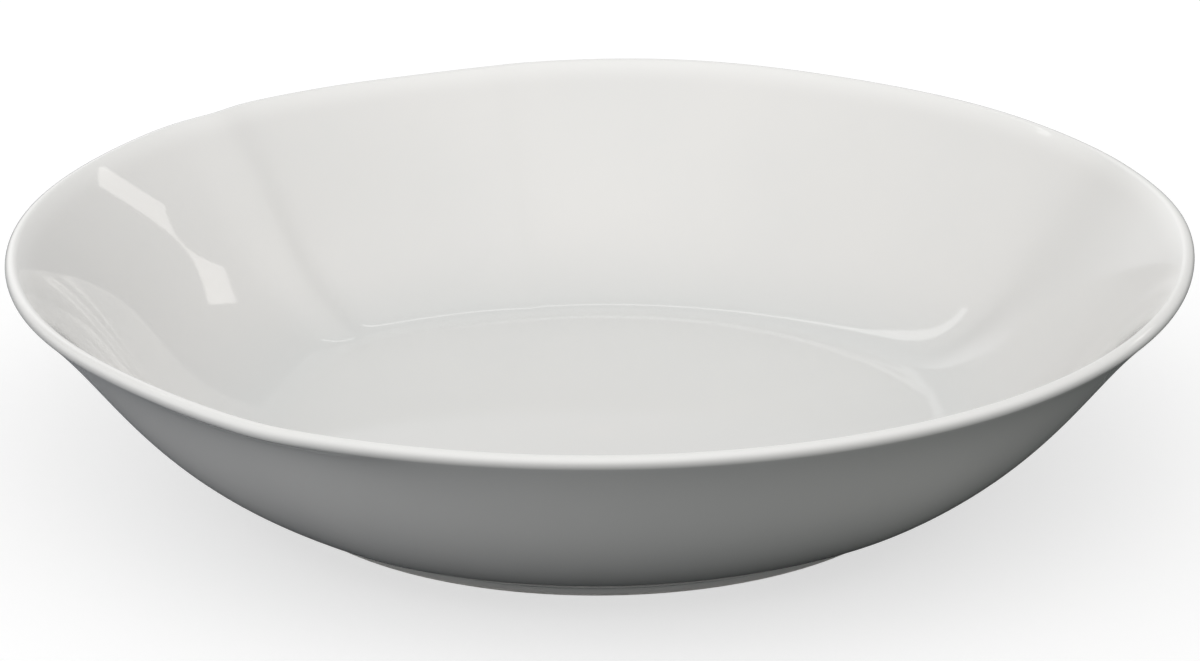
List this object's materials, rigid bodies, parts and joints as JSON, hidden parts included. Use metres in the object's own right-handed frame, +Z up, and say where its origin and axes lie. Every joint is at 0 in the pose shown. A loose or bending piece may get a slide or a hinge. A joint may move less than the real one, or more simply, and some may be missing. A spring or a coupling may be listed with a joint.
{
  "type": "serving bowl",
  "caption": "Wide, shallow white porcelain serving bowl with soft folds in its wall, a rounded wavy lip, a flat floor and a low standing ring.",
  "frame": {"origin": "on the table plane, below the middle of the bowl's overall box", "axes": "+Z up, out of the bowl; +Y towards the back of the usual front view, +X to its right"},
  "size_m": [0.3208, 0.3204, 0.0673],
  "materials": {
    "fired_porcelain": "fired porcelain body, matt, under the glaze",
    "bare_foot": "bare fired porcelain, ground smooth, matt",
    "white_glaze": "clear glossy glaze over white porcelain",
    "foot_glaze": "glossy glaze under the base, inside the standing ring"
  },
  "bodies": {
    "root": {"bowl_body": "fired_porcelain", "foot_ring": "bare_foot", "glaze_coat": "white_glaze", "recess_glaze": "foot_glaze"}
  },
  "joints": []
}
